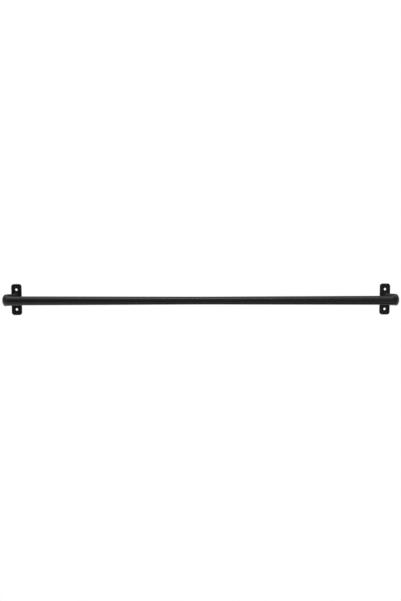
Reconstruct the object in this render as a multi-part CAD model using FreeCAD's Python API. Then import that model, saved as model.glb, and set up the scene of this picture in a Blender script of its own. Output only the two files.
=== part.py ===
import FreeCAD, Part
import math
import os

from FreeCAD import Vector

# A wall rail for kitchen utensils: one steel tube, whose ends are pressed oval, bent round
# towards the wall and welded to two upright plates.
# Sizes are millimetres. X runs along the rail, Y points into the wall, Z is up.
# The origin lies on the wall, at the middle of the four wall screws.

# Whole rail
overall_length = 790.0
rail_distance = 30.0

# Tube, widest at its ends, which tapers gently to a short straight middle
tube_diameter = 18.0
tube_middle_diameter = 15.8
tube_middle_length = 40.0
tube_taper_end = 15.0
tube_wall = 1.2

# Bent ends of the tube: how far the press narrows them and makes them higher, how tightly
# they turn, and how much of the arm stays straight before it drifts inwards
end_squeeze = 6.4
end_spread = 5.6
bend_inner_radius = 3.0
arm_straightness = 0.2

# Upright wall plates, set inwards from the outer sides of the bends
plate_width = 20.5
plate_height = 63.0
plate_thickness = 3.0
plate_corner_radius = 5.5
plate_edge_break = 0.6
plate_inset = 13.0

# Wall screw holes, one above the rail and one below it
screw_hole_diameter = 5.0
screw_hole_spacing = 40.0
screw_hole_edge_break = 0.4

# Weld bead round the foot of each arm
weld_leg = 1.6
weld_to_edge = 0.5

# Sizes and places that follow from the ones above, for the right end
end_thickness = tube_diameter - end_squeeze
end_height = tube_diameter + end_spread
outer_x = overall_length / 2
plate_x = outer_x - plate_inset - plate_width / 2
foot_x = (outer_x - plate_inset - plate_edge_break - weld_to_edge - weld_leg
          - end_thickness / 2)
bend_radius = tube_diameter / 2 + bend_inner_radius
bend_x = outer_x - end_thickness / 2 - bend_radius
taper_x = bend_x - tube_taper_end

# How far a cutting tool runs past the face that it cuts, and how near to a plane an edge
# counts as lying on it
overrun = 2.0
nearness = 0.0001

AXIS_X = Vector(1, 0, 0)
AXIS_Y = Vector(0, 1, 0)
AXIS_Z = Vector(0, 0, 1)


def oval(centre, sideways, half_width, half_height):
    """One upright section of the tube, round where its two half sizes are the same."""
    outline = Part.Ellipse(centre, half_height, half_width)
    outline.Axis = AXIS_Z.cross(sideways)
    outline.XAxis = AXIS_Z
    return Part.Wire(outline.toShape())


def straight_run(inset):
    """The straight run between the bends, drawn in by that much from the tube's outside."""
    end = tube_diameter / 2 - inset
    middle = tube_middle_diameter / 2 - inset
    right = [(tube_middle_length / 2, middle), (taper_x, end), (bend_x, end)]
    left = [(-x, radius) for x, radius in reversed(right)]
    sections = [oval(Vector(x, -rail_distance, 0), -AXIS_Y, radius, radius)
                for x, radius in left + right]
    return Part.makeLoft(sections, True, True)


def bend(inset):
    """The quarter turn at the right end, where the round tube is pressed to an oval."""
    steps = 4
    round_half = tube_diameter / 2 - inset
    middle = Vector(bend_x, bend_radius - rail_distance, 0)
    sections = []
    for step in range(steps + 1):
        share = step / steps
        angle = share * math.pi / 2
        pressed = share * share * (3 - 2 * share)
        sideways = Vector(math.sin(angle), -math.cos(angle), 0)
        half_width = round_half - pressed * end_squeeze / 2
        half_height = round_half + pressed * end_spread / 2
        sections.append(oval(middle + sideways * bend_radius, sideways,
                             half_width, half_height))
    return Part.makeLoft(sections, True, False)


def arm(inset):
    """The oval arm from the end of the turn, drifting inwards, to its foot on the plate."""
    steps = 3
    start = Vector(bend_x + bend_radius, bend_radius - rail_distance, 0)
    foot = Vector(foot_x, -plate_thickness, 0)
    corner = Vector(start.x, start.y + arm_straightness * (foot.y - start.y), 0)
    sections = []
    for step in range(steps + 1):
        share = step / steps
        centre = (start * (1 - share) ** 2 + corner * (2 * share * (1 - share))
                  + foot * share ** 2)
        sections.append(oval(centre, AXIS_X, end_thickness / 2 - inset,
                             end_height / 2 - inset))
    return Part.makeLoft(sections, True, False)


def bent_bar(inset):
    """A solid bar with both bent ends, drawn in by that much from the tube's outside."""
    right_end = [bend(inset), arm(inset)]
    left_end = [mirrored(shape) for shape in right_end]
    return straight_run(inset).fuse(right_end + left_end)


def plate_blank():
    """The upright plate at the right end, with round corners and its front edge broken."""
    half_width = plate_width / 2
    half_height = plate_height / 2
    inner_width = half_width - plate_corner_radius
    inner_height = half_height - plate_corner_radius
    corner = plate_corner_radius * math.sqrt(0.5)

    edges = []
    for sx, sz in ((1, 1), (-1, 1), (-1, -1), (1, -1)):
        centre = Vector(plate_x + sx * inner_width, 0, sz * inner_height)
        edges.append(Part.Arc(
            centre + Vector(sx * plate_corner_radius, 0, 0),
            centre + Vector(sx * corner, 0, sz * corner),
            centre + Vector(0, 0, sz * plate_corner_radius),
        ).toShape())
    for side in (-1, 1):
        edges.append(Part.makeLine(
            Vector(plate_x + side * half_width, 0, -inner_height),
            Vector(plate_x + side * half_width, 0, inner_height),
        ))
        edges.append(Part.makeLine(
            Vector(plate_x - inner_width, 0, side * half_height),
            Vector(plate_x + inner_width, 0, side * half_height),
        ))
    face = Part.Face(Part.Wire(Part.__sortEdges__(edges)))
    plate = face.extrude(-AXIS_Y * plate_thickness)
    return plate.makeChamfer(plate_edge_break, [edge for edge in plate.Edges
                                                if on_plate_front(edge)])


def on_plate_front(edge):
    """Whether an edge lies wholly on the front face of the wall plate."""
    box = edge.BoundBox
    farthest = max(abs(box.YMin + plate_thickness), abs(box.YMax + plate_thickness))
    return farthest < nearness


def screw_hole(height):
    """One wall screw hole with its front edge broken."""
    radius = screw_hole_diameter / 2
    front = Vector(plate_x, -plate_thickness, height)
    through = Part.makeCylinder(radius, plate_thickness + 2 * overrun,
                                front - AXIS_Y * overrun, AXIS_Y)
    broken = Part.makeCone(radius + screw_hole_edge_break, radius,
                           screw_hole_edge_break, front, AXIS_Y)
    return through.fuse(broken)


def wall_plate():
    """The plate at the right end with its two holes and the weld bead that holds the arm."""
    foot = arm(0)
    welded = plate_blank().fuse(foot)
    seam = [edge for edge in welded.Edges if on_plate_front(edge) and edge.isClosed()]
    welded = welded.makeChamfer(weld_leg, seam)
    plate = welded.cut(foot)
    for side in (-1, 1):
        plate = plate.cut(screw_hole(side * screw_hole_spacing / 2))
    return plate


def mirrored(shape):
    """The same shape for the other end of the rail."""
    return shape.mirror(Vector(0, 0, 0), AXIS_X)


os.makedirs("parts", exist_ok=True)

right_plate = wall_plate()
pieces = {
    "rail_tube": bent_bar(0).cut(bent_bar(tube_wall)),
    "right_wall_plate": right_plate,
    "left_wall_plate": mirrored(right_plate),
}
for name, shape in pieces.items():
    shape.exportStep(f"parts/{name}.step")
    print(name, len(shape.Solids), shape.isValid(), round(shape.Volume, 1))
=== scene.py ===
import math

import bmesh
import bpy
from mathutils import Matrix, Vector


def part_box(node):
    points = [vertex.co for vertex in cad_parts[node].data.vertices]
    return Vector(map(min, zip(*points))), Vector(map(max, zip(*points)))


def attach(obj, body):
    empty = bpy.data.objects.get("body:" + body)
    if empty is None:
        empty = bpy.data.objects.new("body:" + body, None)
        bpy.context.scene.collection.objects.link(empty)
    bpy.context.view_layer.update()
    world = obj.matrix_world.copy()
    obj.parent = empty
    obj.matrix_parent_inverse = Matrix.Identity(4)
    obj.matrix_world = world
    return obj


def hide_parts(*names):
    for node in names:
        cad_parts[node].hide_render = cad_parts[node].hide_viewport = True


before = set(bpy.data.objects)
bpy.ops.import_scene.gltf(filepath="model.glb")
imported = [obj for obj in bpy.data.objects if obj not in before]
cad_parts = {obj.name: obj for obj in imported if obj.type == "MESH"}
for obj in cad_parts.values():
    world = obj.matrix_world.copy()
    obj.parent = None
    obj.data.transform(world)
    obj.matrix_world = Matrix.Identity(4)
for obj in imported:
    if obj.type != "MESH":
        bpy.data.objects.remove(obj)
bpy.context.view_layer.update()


# The tube. One length of steel tube, powder coated satin black. Its ends are pressed oval,
# bent round towards the wall and welded to the two plates. Between them it tapers gently
# to a slightly thinner middle. The right end is drawn, and mirrored for the left one.

MM = 0.001
OUTER_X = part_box("rail_tube")[1][0]
RAIL_DISTANCE = 30 * MM
TUBE_RADIUS = 9.0 * MM
TUBE_MIDDLE_RADIUS = 7.9 * MM
TUBE_MIDDLE_HALF = 20 * MM
TUBE_TAPER_END = 15 * MM
END_HALF_HEIGHT = 11.8 * MM
END_HALF_WIDTH = 5.8 * MM
BEND_INNER_RADIUS = 3 * MM
ARM_STRAIGHTNESS = 0.2
PLATE_INSET = 13 * MM
PLATE_THICKNESS = 3 * MM
PLATE_EDGE = 0.6 * MM
WELD_LEG = 1.6 * MM
WELD_TO_EDGE = 0.5 * MM

BEND_RADIUS = TUBE_RADIUS + BEND_INNER_RADIUS
BEND_X = OUTER_X - END_HALF_WIDTH - BEND_RADIUS
BEND_Y = BEND_RADIUS - RAIL_DISTANCE
TAPER_X = BEND_X - TUBE_TAPER_END
FOOT_X = OUTER_X - PLATE_INSET - PLATE_EDGE - WELD_TO_EDGE - WELD_LEG - END_HALF_WIDTH

# How finely the tube is drawn: round it, and along its arm, its bend and its straight run
TUBE_SIDES = 96
ARM_STEPS = 16
BEND_STEPS = 32
RUN_STEPS = 150

# Sizes of the coat's blotches and grains, and how deep its relief is
CLOUD_SIZE = 35 * MM
PEEL_SIZE = 1.1 * MM
GRIT_SIZE = 0.38 * MM
RUB_SIZE = 12 * MM
DUST_SIZE = 1.6 * MM
PEEL_DEPTH = 0.03 * MM
GRIT_DEPTH = 0.006 * MM

COAT_DARK = (0.0070, 0.0070, 0.0072, 1)
COAT_LIGHT = (0.0105, 0.0105, 0.0107, 1)
COAT_RUBBED = (0.0150, 0.0150, 0.0153, 1)
COAT_DUSTY = (0.050, 0.049, 0.047, 1)


class Wire:
    """A value that flows between shader nodes, so that sums can be written as sums."""

    def __init__(self, finish, socket):
        self.finish = finish
        self.socket = socket

    def math(self, operation, first, second):
        return self.finish.node("ShaderNodeMath", {"operation": operation},
                                {0: first, 1: second})["Value"]

    def __add__(self, other):
        return self.math("ADD", self, other)

    def __sub__(self, other):
        return self.math("SUBTRACT", self, other)

    def __rsub__(self, other):
        return self.math("SUBTRACT", other, self)

    def __mul__(self, other):
        return self.math("MULTIPLY", self, other)

    __radd__ = __add__
    __rmul__ = __mul__


class Finish:
    """The finish of one kind of surface, or of the room round the object."""

    def __init__(self, name, owner=None):
        self.material = owner or bpy.data.materials.new(name)
        self.material.use_nodes = True
        self.tree = self.material.node_tree
        self.tree.nodes.clear()

    def node(self, kind, settings, inputs):
        """Add a node with its settings and inputs, and give back its outputs by name."""
        made = self.tree.nodes.new(kind)
        for key, value in settings.items():
            setattr(made, key, value)
        for key, value in inputs.items():
            if isinstance(value, Wire):
                self.tree.links.new(value.socket, made.inputs[key])
            else:
                made.inputs[key].default_value = value
        return {out.name: Wire(self, out) for out in made.outputs if out.enabled}

    def place(self):
        """Where a point lies on the object, in metres."""
        return self.node("ShaderNodeTexCoord", {}, {})["Object"]

    def stretched(self, stretch):
        """Where a point lies once each axis is multiplied by its own number."""
        return self.node("ShaderNodeVectorMath", {"operation": "MULTIPLY"},
                         {0: self.place(), 1: stretch})["Vector"]

    def noise(self, size, detail=2.0, roughness=0.5, stretch=(1, 1, 1)):
        """Cloudy noise, from 0 to 1, whose blotches measure about that size in metres."""
        return self.node("ShaderNodeTexNoise", {},
                         {"Vector": self.stretched(stretch), "Scale": 1 / size,
                          "Detail": detail, "Roughness": roughness})["Fac"]

    def ramp(self, value, low, high):
        """Nought below low, one above high, and smooth between."""
        return self.node("ShaderNodeMapRange", {"interpolation_type": "SMOOTHSTEP"},
                         {"Value": value, "From Min": low, "From Max": high})["Result"]

    def mix(self, share, first, second):
        """A colour between two colours."""
        return self.node("ShaderNodeMix", {"data_type": "RGBA"},
                         {"Factor": share, 6: first, 7: second})["Result"]

    def bump(self, height, depth, under=None):
        """Small relief of that depth in metres, laid over the relief under it."""
        inputs = {"Height": height, "Distance": depth, "Strength": 1.0}
        if under:
            inputs["Normal"] = under
        return self.node("ShaderNodeBump", {}, inputs)["Normal"]

    def coat(self, steady, varying):
        """Finish the surface with one coat of paint or metal."""
        shader = self.node("ShaderNodeBsdfPrincipled", {}, {**steady, **varying})["BSDF"]
        self.node("ShaderNodeOutputMaterial", {}, {"Surface": shader})
        return self.material


def powder_coat(name, rub_stretch, gloss=0.38, dullness=0.29):
    """Satin black powder coat: fine orange peel, cloudy sheen and a few rubbed places."""
    finish = Finish(name)
    clouds = finish.noise(CLOUD_SIZE, 3.0)
    peel = finish.noise(PEEL_SIZE, 2.0)
    grit = finish.noise(GRIT_SIZE, 1.0)
    rubs = finish.ramp(finish.noise(RUB_SIZE, 4.0, 0.65, rub_stretch), 0.56, 0.74)
    dust = finish.ramp(finish.noise(DUST_SIZE, 3.0, 0.7), 0.63, 0.78)

    black = finish.mix(clouds, COAT_DARK, COAT_LIGHT)
    rubbed = finish.mix(rubs * 0.5, black, COAT_RUBBED)
    dusty = finish.mix(dust * 0.16, rubbed, COAT_DUSTY)
    roughness = (dullness + (clouds - 0.5) * 0.12 + (grit - 0.5) * 0.10
                 - rubs * 0.05 + dust * 0.06)
    relief = finish.bump(grit, GRIT_DEPTH, finish.bump(peel, PEEL_DEPTH))
    return finish.coat({"Specular IOR Level": gloss, "IOR": 1.5},
                       {"Base Color": dusty, "Roughness": roughness, "Normal": relief})


def skin(name, rings, close_ends=True):
    """A closed mesh through rings of points; its ends are filled or joined to each other."""
    count = len(rings[0])
    points = [point for ring in rings for point in ring]
    spans = len(rings) - 1 if close_ends else len(rings)
    faces = []
    for i in range(spans):
        here, there = i * count, (i + 1) % len(rings) * count
        for j in range(count):
            k = (j + 1) % count
            faces.append((here + j, here + k, there + k, there + j))
    if close_ends:
        last = (len(rings) - 1) * count
        faces.append(tuple(reversed(range(count))))
        faces.append(tuple(range(last, last + count)))
    mesh = bpy.data.meshes.new(name)
    mesh.from_pydata(points, [], faces)
    mesh.validate()
    piece = bpy.data.objects.new(name, mesh)
    bpy.context.scene.collection.objects.link(piece)
    face_outwards(piece)
    return piece


def face_outwards(piece):
    """Turn all the faces of a closed piece outwards."""
    work = bmesh.new()
    work.from_mesh(piece.data)
    bmesh.ops.recalc_face_normals(work, faces=work.faces)
    work.to_mesh(piece.data)
    work.free()


def smooth_shade(piece, crease_degrees=32):
    """Shade the piece smooth, but keep the edges that are sharper than the crease."""
    mesh = piece.data
    mesh.shade_smooth()
    mesh.set_sharp_from_angle(angle=math.radians(crease_degrees))
    weights = piece.modifiers.new("even_normals", "WEIGHTED_NORMAL")
    weights.keep_sharp = True


def oval_ring(centre, sideways, half_width, half_height):
    """A ring of points round one upright oval section of the tube."""
    ring = []
    for j in range(TUBE_SIDES):
        angle = 2 * math.pi * j / TUBE_SIDES
        ring.append(centre + sideways * (half_width * math.sin(angle))
                    + Vector((0, 0, half_height * math.cos(angle))))
    return ring


def arm_centre(share):
    """The middle of the arm, from the end of the turn at 0 to its foot on the plate at 1."""
    start = Vector((BEND_X + BEND_RADIUS, BEND_Y, 0))
    foot = Vector((FOOT_X, -PLATE_THICKNESS, 0))
    corner = Vector((start.x, start.y + ARM_STRAIGHTNESS * (foot.y - start.y), 0))
    return start * (1 - share) ** 2 + corner * (2 * share * (1 - share)) + foot * share ** 2


def arm_rings():
    """Sections of the arm, from its foot to just before the end of the turn."""
    return [oval_ring(arm_centre(1 - i / ARM_STEPS), Vector((1, 0, 0)),
                      END_HALF_WIDTH, END_HALF_HEIGHT) for i in range(ARM_STEPS)]


def bend_rings():
    """Sections of the quarter turn, from the pressed oval back to the round tube."""
    rings = []
    for i in range(BEND_STEPS + 1):
        share = 1 - i / BEND_STEPS
        angle = share * math.pi / 2
        pressed = share * share * (3 - 2 * share)
        sideways = Vector((math.sin(angle), -math.cos(angle), 0))
        rings.append(oval_ring(Vector((BEND_X, BEND_Y, 0)) + sideways * BEND_RADIUS, sideways,
                               TUBE_RADIUS + pressed * (END_HALF_WIDTH - TUBE_RADIUS),
                               TUBE_RADIUS + pressed * (END_HALF_HEIGHT - TUBE_RADIUS)))
    return rings


def run_rings():
    """Sections of the straight run between the two bends, thinnest in the middle."""
    rings = []
    for i in range(1, RUN_STEPS):
        x = BEND_X * (1 - 2 * i / RUN_STEPS)
        share = (abs(x) - TUBE_MIDDLE_HALF) / (TAPER_X - TUBE_MIDDLE_HALF)
        radius = (TUBE_MIDDLE_RADIUS
                  + (TUBE_RADIUS - TUBE_MIDDLE_RADIUS) * min(max(share, 0), 1))
        rings.append(oval_ring(Vector((x, -RAIL_DISTANCE, 0)), Vector((0, -1, 0)),
                               radius, radius))
    return rings


def mirrored(rings):
    """The same rings at the left end of the rail."""
    return [[Vector((-point.x, point.y, point.z)) for point in ring] for ring in rings]


right_end = arm_rings() + bend_rings()
tube = skin("rail_tube_coated", right_end + run_rings() + mirrored(reversed(right_end)))
smooth_shade(tube)
tube.data.materials.append(powder_coat("tube_powder_coat", (0.12, 1, 1)))
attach(tube, "root")
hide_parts("rail_tube")


# The two wall plates. Each is cut from flat steel with round corners, drilled above and
# below the tube, softened at its front edge, and coated together with the tube.

PLATE_HALF_WIDTH = 10.25 * MM
PLATE_HALF_HEIGHT = 31.5 * MM
PLATE_CORNER = 5.5 * MM
PLATE_BACK_EDGE = 0.2 * MM
PLATE_X = OUTER_X - PLATE_INSET - PLATE_HALF_WIDTH
CORNER_STEPS = 14
PLATE_EDGE_STEPS = 6

HOLE_RADIUS = 2.5 * MM
HOLE_SPACING = 40 * MM
HOLE_EDGE = 0.4 * MM
HOLE_OVERRUN = 1 * MM
HOLE_SIDES = 64
HOLE_EDGE_STEPS = 5


def plate_ring(y, inset):
    """The outline of the wall plate, drawn in by that much, at a distance from the wall."""
    ring = []
    corner = PLATE_CORNER - inset
    for quarter, (sx, sz) in enumerate(((1, 1), (-1, 1), (-1, -1), (1, -1))):
        centre_x = PLATE_X + sx * (PLATE_HALF_WIDTH - PLATE_CORNER)
        centre_z = sz * (PLATE_HALF_HEIGHT - PLATE_CORNER)
        for i in range(CORNER_STEPS + 1):
            angle = math.pi / 2 * (quarter + i / CORNER_STEPS)
            ring.append(Vector((centre_x + corner * math.cos(angle), y,
                                centre_z + corner * math.sin(angle))))
    return ring


def plate_rings():
    """Rings of the wall plate, from its back to its softly rounded front edge."""
    rings = [plate_ring(0, PLATE_BACK_EDGE), plate_ring(-PLATE_BACK_EDGE, 0)]
    for i in range(PLATE_EDGE_STEPS + 1):
        angle = math.pi / 2 * i / PLATE_EDGE_STEPS
        rings.append(plate_ring(-PLATE_THICKNESS + PLATE_EDGE * (1 - math.sin(angle)),
                                PLATE_EDGE * (1 - math.cos(angle))))
    return rings


def hole_rings(height):
    """Rings of the plug that cuts one screw hole with its front edge softened."""
    profile = [(HOLE_OVERRUN, HOLE_RADIUS)]
    for i in range(HOLE_EDGE_STEPS + 1):
        angle = math.pi / 2 * i / HOLE_EDGE_STEPS
        profile.append((-PLATE_THICKNESS + HOLE_EDGE * (1 - math.sin(angle)),
                        HOLE_RADIUS + HOLE_EDGE * (1 - math.cos(angle))))
    profile.append((-PLATE_THICKNESS - HOLE_OVERRUN, HOLE_RADIUS + HOLE_EDGE))

    rings = []
    for y, radius in profile:
        rings.append([Vector((PLATE_X + radius * math.cos(2 * math.pi * j / HOLE_SIDES), y,
                              height + radius * math.sin(2 * math.pi * j / HOLE_SIDES)))
                      for j in range(HOLE_SIDES)])
    return rings


def cut_away(piece, plug):
    """Cut the plug out of the piece, and drop the plug."""
    step = piece.modifiers.new("cut", "BOOLEAN")
    step.operation = "DIFFERENCE"
    step.solver = "EXACT"
    step.object = plug
    evaluated = piece.evaluated_get(bpy.context.evaluated_depsgraph_get())
    mesh = bpy.data.meshes.new_from_object(evaluated)
    piece.modifiers.clear()
    piece.data = mesh
    bpy.data.objects.remove(plug)


plate_coat = powder_coat("plate_powder_coat", (1, 1, 0.5))
for side, at_that_end in (("right", list), ("left", mirrored)):
    plate = skin(side + "_wall_plate_coated", at_that_end(plate_rings()))
    for height in (HOLE_SPACING / 2, -HOLE_SPACING / 2):
        cut_away(plate, skin("plug", at_that_end(hole_rings(height))))
    smooth_shade(plate)
    plate.data.materials.append(plate_coat)
    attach(plate, "root")
    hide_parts(side + "_wall_plate")


# The two weld beads. Each runs once round the foot of an arm, laid in short overlapping
# pools that still show as soft ripples under the black coat, which dries duller there.

WELD_SUNK = 0.3 * MM
WELD_BURIED = 0.9 * WELD_LEG
WELD_CROWN = 0.12 * MM
WELD_RIPPLE = 0.09 * MM
WELD_POOLS = 26
WELD_SIDES = WELD_POOLS * 12
WELD_FACE_STEPS = 10
WELD_CREASE = 60


def weld_section(j):
    """The bead's section at one place round the foot: how far out and how high it reaches."""
    section = [(-WELD_SUNK, WELD_BURIED)]
    for i in range(WELD_FACE_STEPS + 1):
        share = i / WELD_FACE_STEPS
        bow = 2 * share * (1 - share)
        pool = (j * WELD_POOLS / WELD_SIDES + bow) % 1
        swell = ((WELD_CROWN + WELD_RIPPLE * math.sin(math.pi * pool))
                 * math.sin(math.pi * share))
        section.append((WELD_LEG * share + swell, WELD_LEG * (1 - share) + swell))
    section += [(WELD_LEG, -WELD_SUNK), (-WELD_SUNK, -WELD_SUNK)]
    return section


def arm_lean(height):
    """How far the arm has drifted outwards from its foot at that height above the plate."""
    rise = -(BEND_Y + PLATE_THICKNESS)
    share = 1 - max(height, 0) / (2 * rise * (1 - ARM_STRAIGHTNESS))
    return arm_centre(share).x - FOOT_X


def weld_rings():
    """Sections of the bead round the foot of the right arm, each a ring of its own."""
    rings = []
    for j in range(WELD_SIDES):
        angle = 2 * math.pi * j / WELD_SIDES
        rings.append([Vector((
            FOOT_X + arm_lean(height) + (END_HALF_WIDTH + outwards) * math.sin(angle),
            -PLATE_THICKNESS - height,
            (END_HALF_HEIGHT + outwards) * math.cos(angle),
        )) for outwards, height in weld_section(j)])
    return rings


bead_coat = powder_coat("weld_powder_coat", (1, 1, 1), gloss=0.26, dullness=0.48)
for side, at_that_end in (("right", list), ("left", mirrored)):
    bead = skin(side + "_weld_bead", at_that_end(weld_rings()), close_ends=False)
    smooth_shade(bead, WELD_CREASE)
    bead.data.materials.append(bead_coat)
    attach(bead, "root")
    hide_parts(side + "_wall_plate")


# The floor. A plain sheet of pale paper, well below the rail. It takes the rail's soft
# shadow, and farther out it fades to the same white as the room.

FLOOR_HEIGHT = -0.82
FLOOR_SIZE = 14.0
PAPER_COLOUR = (0.82, 0.82, 0.82, 1)
SHADOW_REACH = 0.36
SHADOW_SHARE = 0.3
MIRRORED_FLOOR = 0.6
MIRRORED_FLOOR_LEAST = 0.08

floor_mesh = bpy.data.meshes.new("floor")
floor_mesh.from_pydata([(sx * FLOOR_SIZE, sy * FLOOR_SIZE, FLOOR_HEIGHT)
                        for sx, sy in ((-1, -1), (1, -1), (1, 1), (-1, 1))],
                       [], [(0, 1, 2, 3)])
floor = bpy.data.objects.new("floor", floor_mesh)
bpy.context.scene.collection.objects.link(floor)

paper = Finish("floor_paper")
rays = paper.node("ShaderNodeLightPath", {}, {})
spot = paper.node("ShaderNodeSeparateXYZ", {}, {"Vector": paper.place()})

# The coat mirrors the floor bright, but for its front and a strip below the rail, where
# the tube's lower edge stays dark. The strip leaves out the rail's left end.
strip = paper.ramp(spot["Y"], -0.7, -0.1) - paper.ramp(spot["Y"], 0.1, 0.7)
strip_here = strip * paper.ramp(spot["X"], -0.55, -0.2)
mirrored_floor = (paper.ramp(spot["Y"], -2.4, -0.7) * MIRRORED_FLOOR + MIRRORED_FLOOR_LEAST
                  - strip_here * MIRRORED_FLOOR)

# To the eye the paper is white, and its own shading shows only near the rail's shadow.
seen_straight = rays["Is Camera Ray"] + rays["Is Transmission Ray"]
seen = seen_straight + rays["Is Glossy Ray"]
away = paper.node("ShaderNodeVectorMath", {"operation": "LENGTH"},
                  {0: paper.stretched((0.5, 1, 0))})["Value"]
white = paper.ramp(away, 0.1, SHADOW_REACH) * SHADOW_SHARE + (1 - SHADOW_SHARE)
matt = paper.node("ShaderNodeBsdfDiffuse", {}, {"Color": PAPER_COLOUR})["BSDF"]
glow = paper.node("ShaderNodeEmission", {}, {
    "Color": seen_straight + (1 - seen_straight) * mirrored_floor,
    "Strength": 1.0})["Emission"]
surface = paper.node("ShaderNodeMixShader", {}, {0: seen * white, 1: matt, 2: glow})["Shader"]
paper.node("ShaderNodeOutputMaterial", {}, {"Surface": surface})
floor_mesh.materials.append(paper.material)


# The room. White to the eye, and an even soft light on the rail. What the coat mirrors of
# it is dimmer: a grey back and ceiling, and in front a paler wall on the right only.

ROOM_LIGHT = 0.75
MIRRORED_BACK = 0.3
MIRRORED_CEILING = 0.26
MIRRORED_FRONT = 0.45
MIRRORED_ROOM_LEAST = 0.02

world = bpy.data.worlds.new("studio")
bpy.context.scene.world = world
room = Finish("studio", world)
rays = room.node("ShaderNodeLightPath", {}, {})
direction = room.node("ShaderNodeTexCoord", {}, {})["Generated"]
axes = room.node("ShaderNodeSeparateXYZ", {}, {"Vector": direction})
behind = room.ramp(axes["Y"], -0.2, 0.4)
above = room.ramp(axes["Z"], 0.2, 0.8)
in_front = 1 - room.ramp(axes["Y"], -0.95, -0.6)
to_the_right = room.ramp(axes["X"], -0.2, 0.3)
mirrored_room = (behind * MIRRORED_BACK + above * MIRRORED_CEILING
                 + in_front * to_the_right * MIRRORED_FRONT + MIRRORED_ROOM_LEAST)
seen_straight = rays["Is Camera Ray"] + rays["Is Transmission Ray"]
level = seen_straight + (1 - seen_straight) * (
    rays["Is Glossy Ray"] * mirrored_room + (1 - rays["Is Glossy Ray"]) * ROOM_LIGHT)
sky = room.node("ShaderNodeBackground", {}, {"Color": level, "Strength": 1.0})
room.node("ShaderNodeOutputWorld", {}, {"Surface": sky["Background"]})


# The lamps. A long softbox overhead draws the pale line along the top of the tube, a small
# oval one in front of it widens that line in the middle, and a weak one fills the left end.

def lamp(name, shape, place, aim, width, depth, power):
    """A soft flat lamp that looks at a point, with its sizes in metres and power in watts."""
    light = bpy.data.lights.new(name, "AREA")
    light.shape = shape
    light.size = width
    light.size_y = depth
    light.energy = power
    holder = bpy.data.objects.new(name, light)
    holder.location = place
    holder.rotation_euler = (Vector(aim) - Vector(place)).to_track_quat("-Z", "Y").to_euler()
    bpy.context.scene.collection.objects.link(holder)


lamp("overhead_softbox", "RECTANGLE", (-0.2, -0.2, 1.5), (-0.15, -0.03, 0), 2.6, 0.6, 10)
lamp("front_softbox", "ELLIPSE", (-0.1, -0.6, 1.42), (-0.05, -0.03, 0), 1.1, 0.4, 4.2)
lamp("left_softbox", "RECTANGLE", (-1.6, -0.9, 0.7), (0, -0.03, 0), 0.8, 0.8, 1.5)


# The camera. It stands in front of the rail's middle and looks down on it a little.

FRAME_HEIGHT = 601
FOCAL_PIXELS = 657.5
SENSOR = 36.0
CAMERA_DISTANCE = 1.3
CAMERA_ELEVATION = math.radians(5.3)
CAMERA_ROLL = math.radians(-0.09)
AIM = Vector((-0.0004, -RAIL_DISTANCE, 0.0002))

camera_data = bpy.data.cameras.new("camera")
camera_data.sensor_width = SENSOR
camera_data.lens = FOCAL_PIXELS * SENSOR / FRAME_HEIGHT
camera = bpy.data.objects.new("camera", camera_data)
camera.location = AIM + CAMERA_DISTANCE * Vector((0, -math.cos(CAMERA_ELEVATION),
                                                  math.sin(CAMERA_ELEVATION)))
look = (AIM - camera.location).to_track_quat("-Z", "Y")
camera.rotation_euler = (look.to_matrix().to_4x4()
                         @ Matrix.Rotation(CAMERA_ROLL, 4, "Z")).to_euler()
bpy.context.scene.collection.objects.link(camera)
bpy.context.scene.camera = camera
bpy.context.scene.view_settings.view_transform = "Standard"
